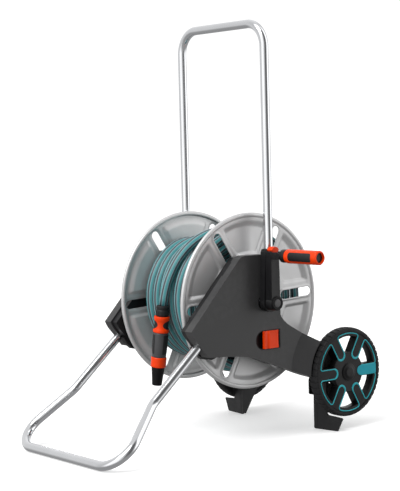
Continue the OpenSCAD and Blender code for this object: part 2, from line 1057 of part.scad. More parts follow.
module nozzle_ring() {
    color(orange)
        hanging()
            rotate_extrude()
                polygon([[10 + running, 105], [14.6, 105], [15.6, 106.5], [15.4, 124], [14.6, 125.4],
                    [10 + running, 125.4]]);
}

module nozzle_tip() {
    color(black)
        hanging()
            rotate_extrude()
                polygon([[3, 128], [6, 125.4], [13.4, 125.4], [13.2, 130], [11, 150], [10, 162],
                    [9, 163], [6.5, 163], [3, 150]]);
}

// ---------- crank ----------

// outline of the arm in (y, z); its foot has the radius r
module arm_shape(left, r) {
    translate([0, drum_z])
        circle(r = r);
    polygon([[left, drum_z], [-13, 378], [-10, 384], [4.5, 384], [7.5, 380], [8.5, drum_z + 8],
        [8.5, drum_z]]);
}

module crank_arm() {
    color(black)
        difference() {
            union() {
                along_x(arm_in, arm_out)
                    arm_shape(-13.5, 15);
                // wider back half
                along_x(arm_in, arm_in + 14)
                    arm_shape(-18, 18.5);
                // two ears for the folding grip
                for (y = [grip_y - 11.5, grip_y + 7.5])
                    translate([arm_out - 1, y, pin_z])
                        rotate([-90, 0, 0])
                            linear_extrude(4) {
                                translate([0, -ear_half])
                                    square([pin_x - arm_out + 1, 2 * ear_half]);
                                translate([pin_x - arm_out + 1, 0])
                                    circle(r = ear_half);
                            }
            }
            // hollow back, shaft and bolt
            translate([arm_in - 1, -11, 298])
                cube([arm_out - arm_in - 3, 16, 60]);
            rod_x(arm_in - 1, 166, 0, drum_z, shaft_r);
            rod_x(160, arm_out - 4, 0, drum_z, 3.2);
            rod_x(arm_out - 6, arm_out + 1, 0, drum_z, 7);
            // well of the button and its spring
            along_x(164, arm_out + 1) {
                intersection() {
                    translate([-2.15, 383.6])
                        circle(r = 10.4);
                    translate([-11.9, 370])
                        square([19.5, 20]);
                }
                translate([-11.9, 383.6])
                    square([19.5, 10]);
            }
            along_x(164, 176)
                translate([-10, 362])
                    square([11.4, 16]);
            // hole for the pin
            translate([pin_x, grip_y - 20, pin_z])
                rotate([-90, 0, 0])
                    cylinder(h = 40, r = 2.5, $fn = 48);
        }
}

module crank_bolt() {
    color(steel)
        union() {
            rod_x(145, arm_out - 6 + nudge, 0, drum_z, 3);
            rod_x(arm_out - 6, arm_out - 2, 0, drum_z, 6.5);
        }
}

module crank_cap() {
    color([0.20, 0.20, 0.21])
        turned_x(0, drum_z)
            polygon([[0, 178], [14, 178], [14, 179.4], [13, 180.4], [9, 180.4], [8, 179.8], [0, 179.8]]);
}

module fold_pin() {
    color(steel)
        translate([pin_x, grip_y - 11.5, pin_z])
            rotate([-90, 0, 0])
                cylinder(h = 23, r = 2.5, $fn = 48);
}

// release button of the folding grip
module crank_button() {
    color(orange)
        union() {
            along_x(164.4, arm_out + 0.6)
                intersection() {
                    translate([-2.15, 379])
                        circle(r = 10);
                    translate([-2.15, 386.6])
                        circle(r = 10);
                }
            along_x(164.4, 175.6)
                translate([-9.5, 370])
                    square([10.4, 10]);
        }
}

module button_spring() {
    color(steel)
        translate([170, -4.3, 362])
            difference() {
                cylinder(h = 8, r = 4.2, $fn = 32);
                translate([0, 0, -1])
                    cylinder(h = 10, r = 3.2, $fn = 32);
            }
}

module grip_spindle() {
    color(black)
        difference() {
            union() {
                // tongue between the ears
                translate([pin_x, grip_y - 7.2, pin_z])
                    rotate([-90, 0, 0])
                        cylinder(h = 14.4, r = 6.7);
                translate([pin_x, grip_y - 7.2, pin_z - 6.7])
                    cube([9, 14.4, 13.4]);
                rod_x(pin_x + 7.8, grip_x0 - 0.6, grip_y, pin_z, 12.8);
                rod_x(pin_x + 8, grip_end_x - 8.7, grip_y, pin_z, spindle_r);
            }
            translate([pin_x, grip_y - 20, pin_z])
                rotate([-90, 0, 0])
                    cylinder(h = 40, r = 2.5 + running, $fn = 48);
        }
}

// shape of the soft inlays: a ring under a rounded window, front and back
module inlay_shape(r_out) {
    x0 = grip_x0 + 13;
    x1 = grip_end_x - 14;
    half = 8.6;
    corner = 5;
    intersection() {
        difference() {
            rod_x(x0, x1, grip_y, pin_z, r_out);
            rod_x(x0 - 1, x1 + 1, grip_y, pin_z, grip_r - 2);
        }
        translate([0, grip_y, pin_z])
            rotate([90, 0, 0])
                linear_extrude(60, center = true) {
                    translate([x0 + corner, -half])
                        square([x1 - x0 - 2 * corner, 2 * half]);
                    translate([x0, -half + corner])
                        square([x1 - x0, 2 * (half - corner)]);
                    for (x = [x0 + corner, x1 - corner])
                        for (z = [-half + corner, half - corner])
                            translate([x, z])
                                circle(r = corner);
                }
    }
}

module grip_core() {
    end = grip_end_x;
    color(orange)
        difference() {
            turned_x(grip_y, pin_z)
                polygon([
                    [spindle_r + running, grip_x0], [grip_r - 1.5, grip_x0], [grip_r, grip_x0 + 2],
                    [grip_r, end - 2.5], [grip_r - 2, end], [10, end], [10, end - 9],
                    [spindle_r + running, end - 9]
                ]);
            inlay_shape(grip_r + 1);
        }
}

// soft inlays in the grip
module grip_inlay() {
    color(black)
        inlay_shape(grip_r);
}

module grip_washer() {
    color(black)
        rod_x(grip_end_x - 8.7, grip_end_x - 5, grip_y, pin_z, 9.4);
}

// ---------- nodes ----------

side_cover_right();
side_cover_left();
side_frame_right();
side_frame_left();
cover_screws();
foot_bow();
foot_clamp_screws();
rear_foot_right();
rear_foot_left();
foot_screws();
wheel_axle();
axle_clips();
hub_bush_right();
hub_bush_left();
handle_guides();
latch_housing_right();
latch_housing_left();
latch_pin_right();
latch_pin_left();
latch_spring_right();
latch_spring_left();
inlet_elbow();
inlet_seals();
inlet_connector();
handle_bow();
handle_plugs();
latch_lever_right();
latch_lever_left();
tyre_right();
rim_right();
accent_right();
hub_cap_right();
tyre_left();
rim_left();
accent_left();
hub_cap_left();
drum_flange_right();
drum_flange_left();
drum_core();
drum_shaft();
drum_outlet();
flange_screws();
hose_winding();
hose_tail();
hose_nut();
hose_connector();
nozzle_body();
nozzle_ring();
nozzle_tip();
crank_arm();
crank_bolt();
crank_cap();
fold_pin();
crank_button();
button_spring();
grip_spindle();
grip_core();
grip_inlay();
grip_washer();
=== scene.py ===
"""Looks of the hose reel cart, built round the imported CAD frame."""

import json
import math

import bpy
import numpy as np
from mathutils import Matrix, Vector


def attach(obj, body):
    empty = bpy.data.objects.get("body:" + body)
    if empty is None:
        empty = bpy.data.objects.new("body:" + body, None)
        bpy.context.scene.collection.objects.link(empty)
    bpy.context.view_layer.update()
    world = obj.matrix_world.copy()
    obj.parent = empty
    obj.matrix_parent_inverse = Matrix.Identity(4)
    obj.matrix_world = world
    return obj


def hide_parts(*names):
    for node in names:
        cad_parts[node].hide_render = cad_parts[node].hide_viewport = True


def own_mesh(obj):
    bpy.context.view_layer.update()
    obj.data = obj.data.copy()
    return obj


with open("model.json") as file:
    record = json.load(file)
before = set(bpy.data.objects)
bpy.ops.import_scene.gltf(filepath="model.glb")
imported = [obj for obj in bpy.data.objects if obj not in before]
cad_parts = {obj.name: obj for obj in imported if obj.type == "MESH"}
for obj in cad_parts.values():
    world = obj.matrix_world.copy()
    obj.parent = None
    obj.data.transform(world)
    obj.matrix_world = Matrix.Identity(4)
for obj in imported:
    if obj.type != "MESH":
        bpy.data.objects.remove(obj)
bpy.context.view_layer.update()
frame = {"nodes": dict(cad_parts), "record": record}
nodes = frame["nodes"]
MM = 0.001
# which way X points on each side of the cart, and the side's name
BOTH_SIDES = ((1, "right"), (-1, "left"))

# ---------------------------------------------------------------- camera

# where the camera stands, in metres, and how it is turned, in radians
EYE = Vector((2.1974, -1.8245, 0.5673))
YAW, PITCH, ROLL = 0.8905, 0.0633, 0.0256
LENS, SENSOR = 125.55, 36.0

forward = Vector((-math.sin(YAW) * math.cos(PITCH), math.cos(YAW) * math.cos(PITCH), -math.sin(PITCH)))
level = Vector((math.cos(YAW), math.sin(YAW), 0.0))
below = forward.cross(level)
cam_right = level * math.cos(ROLL) + below * math.sin(ROLL)
cam_down = -level * math.sin(ROLL) + below * math.cos(ROLL)
cam_data = bpy.data.cameras.new("camera")
cam_data.sensor_fit = "HORIZONTAL"
cam_data.sensor_width = SENSOR
cam_data.lens = LENS
cam_data.clip_end = 30
camera = bpy.data.objects.new("camera", cam_data)
bpy.context.scene.collection.objects.link(camera)
turn = Matrix((cam_right, -cam_down, -forward)).transposed().to_4x4()
camera.matrix_world = Matrix.Translation(EYE) @ turn
bpy.context.scene.camera = camera

# ---------------------------------------------------------------- materials


def node_material(name):
    """A new material with its node tree and its main shader."""
    mat = bpy.data.materials.new(name)
    mat.use_nodes = True
    nt = mat.node_tree
    bsdf = nt.nodes["Principled BSDF"]
    return mat, nt, bsdf


def new_node(nt, kind, **values):
    """A new node with some of its properties set."""
    n = nt.nodes.new(kind)
    for key, value in values.items():
        setattr(n, key, value)
    return n


def noise(nt, coord, scale, detail=3.0, rough=0.55):
    """A noise texture's value at the given coordinates."""
    n = new_node(nt, "ShaderNodeTexNoise")
    n.inputs["Scale"].default_value = scale
    n.inputs["Detail"].default_value = detail
    n.inputs["Roughness"].default_value = rough
    nt.links.new(coord, n.inputs["Vector"])
    return n.outputs["Fac"]


def remap(nt, value, from_min, from_max, to_min, to_max):
    """The value carried from one range to another, clamped."""
    n = new_node(nt, "ShaderNodeMapRange")
    n.inputs["From Min"].default_value = from_min
    n.inputs["From Max"].default_value = from_max
    n.inputs["To Min"].default_value = to_min
    n.inputs["To Max"].default_value = to_max
    nt.links.new(value, n.inputs["Value"])
    return n.outputs["Result"]


def mix(nt, fac, a, b):
    """A blend of two colours, each a tuple or a socket."""
    n = new_node(nt, "ShaderNodeMix", data_type="RGBA")
    nt.links.new(fac, n.inputs["Factor"])
    for value, socket in ((a, n.inputs[6]), (b, n.inputs[7])):
        if isinstance(value, tuple):
            socket.default_value = (*value, 1.0)
        else:
            nt.links.new(value, socket)
    return n.outputs[2]


def bump(nt, height, strength, distance):
    """The normal of a surface with the given height, in metres."""
    n = new_node(nt, "ShaderNodeBump")
    n.inputs["Strength"].default_value = strength
    n.inputs["Distance"].default_value = distance
    nt.links.new(height, n.inputs["Height"])
    return n.outputs["Normal"]


def surface(name, color, rough=0.5, metallic=0.0, vary=0.12, scale=18.0, grain=900.0,
            depth=0.00004, rough_vary=0.08, specular=0.5, wear=0.0):
    """A moulded, painted or metal surface: clouded colour, fine grain, uneven gloss, worn edges."""
    mat, nt, bsdf = node_material(name)
    tex = new_node(nt, "ShaderNodeTexCoord")
    coord = tex.outputs["Object"]
    cloud = noise(nt, coord, scale, 4.0)
    lo = tuple(max(0.0, c * (1 - vary)) for c in color)
    hi = tuple(min(1.0, c * (1 + vary)) for c in color)
    base = mix(nt, remap(nt, cloud, 0.35, 0.65, 0.0, 1.0), lo, hi)
    if wear:
        geo = new_node(nt, "ShaderNodeNewGeometry")
        edge = remap(nt, geo.outputs["Pointiness"], 0.52, 0.60, 0.0, 1.0)
        patch = remap(nt, noise(nt, coord, 90.0, 5.0), 0.42, 0.62, 0.0, wear)
        both = new_node(nt, "ShaderNodeMath", operation="MULTIPLY")
        nt.links.new(edge, both.inputs[0])
        nt.links.new(patch, both.inputs[1])
        worn = tuple(min(1.0, c * 1.6 + 0.03) for c in color)
        base = mix(nt, both.outputs[0], base, worn)
    nt.links.new(base, bsdf.inputs["Base Color"])
    gloss = noise(nt, coord, scale * 3.1, 4.0)
    nt.links.new(remap(nt, gloss, 0.3, 0.7, max(0.02, rough - rough_vary), rough + rough_vary),
                 bsdf.inputs["Roughness"])
    nt.links.new(bump(nt, noise(nt, coord, grain, 2.0), 0.6, depth), bsdf.inputs["Normal"])
    bsdf.inputs["Metallic"].default_value = metallic
    bsdf.inputs["Specular IOR Level"].default_value = specular
    return mat


# the materials by short names
M = {
    "cover": surface("cover_grey", (0.050, 0.050, 0.051), 0.42, vary=0.02, scale=7, grain=1400,
                     depth=0.00003, rough_vary=0.015, specular=0.35, wear=0.12),
    "black": surface("frame_black", (0.009, 0.009, 0.010), 0.45, grain=1200, depth=0.00006,
                     specular=0.3, wear=0.3),
    "steel": surface("steel", (0.56, 0.57, 0.59), 0.32, metallic=1.0, grain=2500, vary=0.06),
    "chrome": surface("tube_chrome", (0.80, 0.81, 0.83), 0.13, metallic=1.0, vary=0.03, scale=9,
                      grain=700, depth=0.000012, rough_vary=0.05),
    "bush": surface("bush_grey", (0.03, 0.03, 0.033), 0.4, specular=0.35),
    "water": surface("water_black", (0.012, 0.012, 0.013), 0.4, specular=0.35),
    "seal": surface("seal_rubber", (0.01, 0.01, 0.01), 0.6),
    "orange": surface("orange", (0.88, 0.050, 0.001), 0.36, vary=0.04, scale=30, specular=0.22, wear=0.12),
    "tyre": surface("tyre", (0.012, 0.012, 0.013), 0.62, specular=0.3, vary=0.2, grain=600, depth=0.00012),
    "rim": surface("rim_black", (0.005, 0.005, 0.0055), 0.40, specular=0.24, grain=1100, depth=0.00005),
    "teal": surface("teal", (0.001, 0.36, 0.46), 0.35, vary=0.06, scale=40, specular=0.25),
    "flange": surface("flange_silver", (0.66, 0.66, 0.662), 0.46, metallic=0.55, vary=0.05, scale=8,
                      grain=2200, depth=0.00003, rough_vary=0.06, specular=0.5),
    "soft": surface("soft_black", (0.012, 0.012, 0.013), 0.55, specular=0.35, grain=1600, depth=0.00008),
    "nozzle": surface("nozzle_grey", (0.06, 0.06, 0.063), 0.4, grain=1400, specular=0.35),
    "crank": surface("crank_black", (0.009, 0.009, 0.010), 0.38, grain=1300, specular=0.32, wear=0.3),
    "line": surface("teal_line", (0.02, 0.42, 0.48), 0.35, vary=0.05, scale=40, specular=0.3),
    "disc": surface("disc_grey", (0.085, 0.085, 0.088), 0.4, grain=1300, specular=0.35),
    "tip": surface("tip_black", (0.004, 0.004, 0.0045), 0.42, specular=0.18),
}
# which of them a material slot of the frame takes
SLOT_MATERIAL = {
    "cover_grey": "cover", "frame_black": "black", "steel": "steel", "tube_chrome": "chrome",
    "bush_grey": "bush", "water_black": "water", "seal_rubber": "seal", "orange": "orange",
    "tyre": "tyre", "rim_black": "rim", "teal": "teal", "flange_silver": "flange",
    "soft_black": "soft", "nozzle_grey": "nozzle", "crank_black": "crank", "hose": "hose",
}

# the hose's markings: stripes and ribs round it, and turns of the braid along it
STRIPES = 5.0
RIBS = 30.0
WEAVE_PER_METRE = 260.0


def hose_material():
    """Grey hose with lengthwise turquoise stripes, a painted highlight line at each stripe's edge, and a fine
    braid; U runs round it, V along it.
    """
    mat, nt, bsdf = node_material("hose")
    tex = new_node(nt, "ShaderNodeTexCoord")
    split = new_node(nt, "ShaderNodeSeparateXYZ")
    nt.links.new(tex.outputs["UV"], split.inputs[0])
    u, v = split.outputs[0], split.outputs[1]

    def math_node(op, a, b=None):
        n = new_node(nt, "ShaderNodeMath", operation=op)
        nt.links.new(a, n.inputs[0])
        if isinstance(b, float):
            n.inputs[1].default_value = b
        elif b is not None:
            nt.links.new(b, n.inputs[1])
        return n.outputs[0]

    wave = math_node("SINE", math_node("MULTIPLY", u, 2 * math.pi * STRIPES))
    stripe = remap(nt, wave, -0.02, 0.20, 0.0, 1.0)
    # a pale line along each stripe's edge: a painted highlight, not a marking of the hose
    line = remap(nt, math_node("ABSOLUTE", math_node("ADD", wave, 0.16)), 0.08, 0.36, 1.0, 0.0)
    cloud = noise(nt, tex.outputs["Object"], 25.0, 4.0)
    grey = mix(nt, cloud, (0.035, 0.05, 0.06), (0.07, 0.09, 0.10))
    blue = mix(nt, cloud, (0.06, 0.27, 0.29), (0.09, 0.36, 0.38))
    # pale is the colour of the painted highlight lines
    pale = mix(nt, cloud, (0.36, 0.47, 0.51), (0.48, 0.60, 0.64))
    base = mix(nt, line, mix(nt, stripe, grey, blue), pale)
    nt.links.new(base, bsdf.inputs["Base Color"])
    ribs = math_node("SINE", math_node("MULTIPLY", u, 2 * math.pi * RIBS))
    slant = math_node("ADD", v, math_node("MULTIPLY", u, 0.06))
    weave = math_node("SINE", math_node("MULTIPLY", slant, 2 * math.pi * WEAVE_PER_METRE))
    both = math_node("ADD", ribs, math_node("MULTIPLY", weave, 0.35))
    nt.links.new(bump(nt, both, 0.5, 0.00035), bsdf.inputs["Normal"])
    nt.links.new(remap(nt, cloud, 0.3, 0.7, 0.28, 0.40), bsdf.inputs["Roughness"])
    return mat


M["hose"] = hose_material()

# ---------------------------------------------------------------- mesh helpers


def add_mesh(name, verts, faces, material, body, uvs=None):
    """A smooth mesh piece in the frame's own metres, that rides on a body and fills a material slot."""
    me = bpy.data.meshes.new(name)
    me.from_pydata([tuple(v) for v in verts], [], [tuple(f) for f in faces])
    if uvs is not None:
        layer = me.uv_layers.new(name="UVMap")
        layer.data.foreach_set("uv", np.asarray(uvs, np.float32).ravel())
    me.update()
    me.polygons.foreach_set("use_smooth", [True] * len(me.polygons))
    me.materials.append(material)
    ob = bpy.data.objects.new(name, me)
    bpy.context.scene.collection.objects.link(ob)
    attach(ob, body)
    return ob


def mm_point(x, y, z):
    """A point given in millimetres."""
    return (x * MM, y * MM, z * MM)


def band(rows, columns):
    """Faces between rings of points that close on themselves."""
    faces = []
    for i in range(rows - 1):
        for k in range(columns):
            k2 = (k + 1) % columns
            a, b = i * columns, (i + 1) * columns
            faces.append((a + k, a + k2, b + k2, b + k))
    return faces


def sweep(points, radius, sides, guide):
    """Rings along a route; guide(p) gives the direction of a ring's first point."""
    route = np.asarray(points, float)
    ahead = np.gradient(route, axis=0)
    ahead /= np.linalg.norm(ahead, axis=1)[:, None]
    verts = []
    for p, t in zip(route, ahead):
        g = np.asarray(guide(p), float)
        a = g - t * (g @ t)
        a /= np.linalg.norm(a)
        b = np.cross(t, a)
        for k in range(sides):
            w = 2 * math.pi * k / sides
            verts.append(p + radius * (a * math.cos(w) + b * math.sin(w)))
    return verts, band(len(route), sides)


def tube_uvs(points, sides):
    """U once round the tube and V in metres along it, for each corner of sweep()'s faces."""
    route = np.asarray(points, float)
    s = np.concatenate([[0], np.cumsum(np.linalg.norm(np.diff(route, axis=0), axis=1))])
    uv = []
    for i in range(len(route) - 1):
        for k in range(sides):
            u0, u1 = k / sides, (k + 1) / sides
            uv += [(u0, s[i]), (u1, s[i]), (u1, s[i + 1]), (u0, s[i + 1])]
    return uv


def cap(faces, sides, rings):
    """Closes both ends of a swept tube."""
    last = (rings - 1) * sides
    faces.append(tuple(range(sides - 1, -1, -1)))
    faces.append(tuple(range(last, last + sides)))


def arc(c, r, a0, a1, steps):
    """Points of an arc about c from a0 to a1 degrees."""
    turns = [math.radians(a0 + (a1 - a0) * i / steps) for i in range(steps + 1)]
    return [(c[0] + r * math.cos(w), c[1] + r * math.sin(w)) for w in turns]


def ease(t):
    """Clamps t to 0 to 1 and rounds off both ends."""
    t = np.clip(t, 0, 1)
    return t * t * (3 - 2 * t)


def lathe(profile, steps):
    """Turns (radius, along) pairs about the local Z axis."""
    verts, faces = [], []
    n = len(profile)
    for i in range(steps):
        w = 2 * math.pi * i / steps
        for r, z in profile:
            verts.append((r * math.cos(w), r * math.sin(w), z))
    for i in range(steps):
        j = (i + 1) % steps
        for k in range(n - 1):
            faces.append((i * n + k, j * n + k, j * n + k + 1, i * n + k + 1))
    return verts, faces


def soften(ob, width, segments):
    """Rounds the sharp edges of a CAD node."""
    weld = ob.modifiers.new("weld", "WELD")
    weld.merge_threshold = 0.00001
    bevel = ob.modifiers.new("bevel", "BEVEL")
    bevel.width = width
    bevel.segments = segments
    bevel.limit_method = "ANGLE"
    bevel.angle_limit = math.radians(30)
    bevel.harden_normals = True
    bevel.use_clamp_overlap = True


# ---------------------------------------------------------------- hose

DRUM_Z = 0.278
HOSE_R = 0.009
HOSE_SIDES = 16
# the winding's layers: radius, x where it starts, x where it ends, turns
LAYERS = [(72, 78, -79, 7.8333), (87, -79, 79, 8.25), (103, 79, -79, 7.25), (119, -79, 80, 7.0)]
# the free stretch laid over them: angle about the drum, radius, x
LAP = [
    (-600, 119, 80), (-580, 119, 80), (-560, 119, 80), (-540, 119.5, 80), (-520, 123, 80),
    (-500, 127.5, 80), (-480, 130, 80), (-460, 132, 80), (-440, 134, 80), (-420, 135, 80),
    (-400, 136, 80), (-380, 136.5, 80), (-360, 137, 80), (-340, 137.5, 80), (-320, 137.5, 80),
    (-300, 137.5, 80), (-280, 137.5, 80), (-260, 137.5, 80), (-240, 137.5, 79),
    (-220, 137.5, 77), (-200, 137.5, 74.5), (-180, 137.5, 71.5), (-160, 137.5, 68),
    (-140, 137.5, 64.5), (-120, 137.5, 61), (-100, 137.5, 57.5), (-80, 137.5, 54),
    (-60, 137.5, 50), (-40, 137.5, 45), (-20, 137.5, 40), (0, 137.5, 34.5), (20, 137.5, 29),
    (40, 137.5, 24.5), (60, 137.5, 20.5), (80, 137.5, 16.5), (100, 137.5, 12.5), (120, 137.5, 8.5),
    (140, 137.5, 4.5), (155, 137.5, 0.8), (165, 138.3, -1.4), (175, 140, -3.6),
]
# where the hose enters its nut, and how far the nozzle hangs off the upright
HANG = Vector((-0.005, -0.1415, 0.274))
hang_back, hang_side = math.radians(180 - 2.1), math.radians(6.9)
HANG_DIR = Vector((math.cos(hang_back) * math.sin(hang_side), -math.sin(hang_back),
                   math.cos(hang_back) * math.cos(hang_side)))


def wound_points():
    """(angle, radius, x) of the layers, each joined to the next by a quarter turn."""
    step = 7.5
    joins = len(LAYERS) - 1
    angle = LAP[0][0] - 360 * (sum(layer[3] for layer in LAYERS) + 0.25 * joins)
    pts = []
    for i, (r, x0, x1, turns) in enumerate(LAYERS):
        n = int(round(turns * 360 / step))
        for k in range(n):
            t = k / n
            pts.append((angle + 360 * turns * t, r, x0 + (x1 - x0) * t))
        angle += 360 * turns
        if i < joins:
            next_r, next_x = LAYERS[i + 1][:2]
            m = int(90 / step)
            for k in range(m):
                t = k / m
                pts.append((angle + 90 * t, r + (next_r - r) * ease(t), x1 + (next_x - x1) * ease(t)))
            angle += 90
    return pts


def lap_points():
    """(angle, radius, x) of the lap on a smooth curve, every 5 degrees."""
    fine = np.arange(LAP[0][0], LAP[-1][0] + 0.1, 5.0)
    angles, radii, xs = np.array(LAP, float).T

    def smooth(values):
        y = np.interp(fine, angles, values)
        for _ in range(6):
            y[1:-1] = 0.25 * y[:-2] + 0.5 * y[1:-1] + 0.25 * y[2:]
        return y

    return list(zip(fine, smooth(radii), smooth(xs)))


def round_drum(angle, r, x):
    """The place of a point given by its angle about the drum, radius and x in mm."""
    w = math.radians(angle)
    return Vector((x * MM, r * MM * math.cos(w), DRUM_Z + r * MM * math.sin(w)))


def outward(p):
    """Away from the drum's axis."""
    return (0.0, p[1], p[2] - DRUM_Z)


hose_points = [round_drum(*p) for p in wound_points() + lap_points()] + [HANG.copy()]
hose_verts, hose_faces = sweep(hose_points, HOSE_R, HOSE_SIDES, outward)
cap(hose_faces, HOSE_SIDES, len(hose_points))
hose_uvs = tube_uvs(hose_points, HOSE_SIDES) + [(0, 0)] * (2 * HOSE_SIDES)
hose = add_mesh("garden_hose", hose_verts, hose_faces, M["hose"], "drum", uvs=hose_uvs)
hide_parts("hose_winding", "hose_tail")

# ---------------------------------------------------------------- bent tubes

TUBE_OUTER, TUBE_INNER = 0.009, 0.0078
TUBE_SIDES = 40


def add_tube(name, path, to_frame, body, node):
    """An open-ended chrome tube along a flat path; to_frame carries the path's plane into the frame."""
    route = []
    for p in path:
        q = np.array(to_frame(*p))
        if not route or np.linalg.norm(q - route[-1]) > 0.0005:
            route.append(q)
    origin, along, across = (np.array(to_frame(*p)) for p in ((0, 0), (1, 0), (0, 1)))
    normal = np.cross(along - origin, across - origin)
    outer_verts, outer_faces = sweep(route, TUBE_OUTER, TUBE_SIDES, lambda p: normal)
    inner_verts, inner_faces = sweep(route, TUBE_INNER, TUBE_SIDES, lambda p: normal)
    off = len(outer_verts)
    faces = outer_faces + [tuple(off + k for k in reversed(f)) for f in inner_faces]
    for ring, flip in ((0, True), (len(route) - 1, False)):
        base = ring * TUBE_SIDES
        for k in range(TUBE_SIDES):
            k2 = (k + 1) % TUBE_SIDES
            q = (base + k, base + k2, off + base + k2, off + base + k)
            faces.append(q[::-1] if flip else q)
    tube = add_mesh(name, outer_verts + inner_verts, faces, M["chrome"], body)
    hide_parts(node)


def mirrored(half):
    """A path from the right end to the middle, then back out on the left."""
    return half + [(-x, y) for x, y in reversed(half)]


def straight(p, q, steps):
    """Evenly spaced points after p, up to q."""
    return [(p[0] + (q[0] - p[0]) * k / steps, p[1] + (q[1] - p[1]) * k / steps)
            for k in range(1, steps + 1)]


HANDLE_Y = 23
handle_half = [(130, 172)] + straight((130, 172), (130, 782), 39) + arc((82, 782), 48, 0, 90, 24)[1:]
handle_half += straight((82, 830), (0, 830), 7)
add_tube("handle_tube", mirrored(handle_half), lambda u, v: mm_point(u, HANDLE_Y, v), "handle", "handle_bow")

# the foot's plane leans forward; its sides flare outwards between an inner and an outer bend
FOOT_LEAN = math.radians(40.5)
FOOT_FLARE = 20.61


def foot_point(u, v):
    """A point of the foot's plane, u across and v down along it."""
    return mm_point(u, -164 - v * math.cos(FOOT_LEAN), 203 - v * math.sin(FOOT_LEAN))


inner_bend = arc((174, 138), 44, 180, 180 - FOOT_FLARE, 10)
outer_bend = arc((115.876, 249.068), 49.5, -FOOT_FLARE, 90, 26)
foot_half = [(130, -96)] + straight((130, -96), (130, 138), 23) + inner_bend[1:]
foot_half += straight(inner_bend[-1], outer_bend[0], 9) + outer_bend[1:]
foot_half += straight(outer_bend[-1], (0, outer_bend[-1][1]), 9)
add_tube("foot_tube", mirrored(foot_half), foot_point, "cart", "foot_bow")

# ---------------------------------------------------------------- flanges

SLOT_COUNT = 6
SLOT_PHASE = 3.0
SLOT_ENDS = (89, 154)
SLOT_HALF_WIDTH = 9
RECESS_DEPTH = 5.0
RIDGE_HEIGHT = 1.6
FLANGE_COLUMNS = 600


def flange_height(y, z):
    """(height, slot distance) of the pressed sheet in mm at points given from the drum's axis."""
    r = np.hypot(y, z)
    slot_distance = np.full(y.shape, 1e9)
    arm_distance = np.full(y.shape, 1e3)
    for k in range(SLOT_COUNT):
        w = math.radians(SLOT_PHASE + 360 / SLOT_COUNT * k)
        c, s = math.cos(w), math.sin(w)
        u = y * c + z * s
        p = -y * s + z * c
        slot_distance = np.minimum(slot_distance, np.hypot(u - np.clip(u, *SLOT_ENDS), p) - SLOT_HALF_WIDTH)
        arm_distance = np.minimum(arm_distance, np.where(u > 0, np.abs(p), 1e3))
    # how deep inside a recess a point lies, with soft corners
    blend = 2.5
    inside = -blend * np.log(np.exp(-(r - 93) / blend) + np.exp(-(arm_distance - 21) / blend))
    h = -RECESS_DEPTH * ease((inside + 1.0) / 8.0) * ease((163 - r) / 15.0)
    # a ridge round each slot, and a shallow step inside the rim
    h = h + RIDGE_HEIGHT * (1 - ease((slot_distance - 1.2) / 4.0))
    h = h + 0.3 * ease((r - 156) / 4.0)
    return h, slot_distance


def flange_mesh(side):
    """One pressed flange: a polar grid with its slots left out, and a rolled rim."""
    radii = np.arange(12, 168.1, 1.5)
    rows, columns = len(radii), FLANGE_COLUMNS
    around = np.arange(columns) * 2 * math.pi / columns
    y, z = np.outer(radii, np.cos(around)), np.outer(radii, np.sin(around))
    slot_distance = flange_height(y, z)[1]
    # faces whose middle lies in a slot are left out
    both = slot_distance[:-1] + slot_distance[1:]
    keep = (both + np.roll(both, -1, 1)) / 4 > 0
    beside_kept = np.zeros((rows, columns), bool)
    beside_cut = np.zeros((rows, columns), bool)
    for di in (0, 1):
        for dj in (0, 1):
            near = np.roll(keep, dj, 1)
            beside_kept[di:rows - 1 + di] |= near
            beside_cut[di:rows - 1 + di] |= ~near
    edge = beside_kept & beside_cut
    # points between the two are pulled onto the slot's edge
    eps = 0.05
    slope_y = (flange_height(y + eps, z)[1] - slot_distance) / eps
    slope_z = (flange_height(y, z + eps)[1] - slot_distance) / eps
    y = np.where(edge, y - slope_y * slot_distance, y)
    z = np.where(edge, z - slope_z * slot_distance, z)
    x = 97.7 + flange_height(y, z)[0]
    verts = [(side * x[i, j] * MM, y[i, j] * MM, DRUM_Z + z[i, j] * MM)
             for i in range(rows) for j in range(columns)]
    rim = [math.radians(a) for a in range(125, -136, -20)]
    for a in rim:
        r, out = 171.5 + 3.5 * math.cos(a), 97.2 + 3.2 * math.sin(a)
        verts += [(side * out * MM, r * MM * math.cos(w), DRUM_Z + r * MM * math.sin(w)) for w in around]
    faces = []
    for i, f in enumerate(band(rows + len(rim), columns)):
        if i < keep.size and not keep.flat[i]:
            continue
        faces.append(f if side > 0 else f[::-1])
    return verts, faces


for side, name in BOTH_SIDES:
    verts, faces = flange_mesh(side)
    flange = add_mesh("flange_sheet_" + name, verts, faces, M["flange"], "drum")
    sheet = flange.modifiers.new("sheet", "SOLIDIFY")
    sheet.thickness = 0.0014
    sheet.offset = -1
    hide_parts("drum_flange_" + name)

# ---------------------------------------------------------------- CAD nodes kept

# how wide a node's edges are rounded, in metres, where it isn't the usual width
EDGE = 0.0004
WIDE_EDGES = {
    "side_cover": 0.0035, "side_frame": 0.0005, "rear_foot": 0.0012, "crank_arm": 0.002, "rim": 0.0014,
    "tyre": 0.0008, "crank_button": 0.001, "latch_lever": 0.0007, "grip_core": 0.0006, "inlet_elbow": 0.001,
}
DARKEST = ("nozzle_tip", "crank_cap")
slot_of = {part["node"]: part["material_slot"] for part in frame["record"]["subparts"]}
for node, ob in nodes.items():
    if ob.hide_render:
        continue
    material = M["tip"] if node in DARKEST else M[SLOT_MATERIAL[slot_of[node]]]
    if not ob.data.materials:
        ob.data.materials.append(material)
    for i in range(len(ob.data.materials)):
        ob.data.materials[i] = material
    kind = node.removesuffix("_right").removesuffix("_left")
    soften(ob, WIDE_EDGES.get(kind, EDGE), 4 if kind == "side_cover" else 2)

# ---------------------------------------------------------------- wheels

AXLE_Y, AXLE_Z = 0.201, 0.118
SPOKES = 6
TREAD_BLOCKS = 44
GROOVE_DEPTH = 1.5
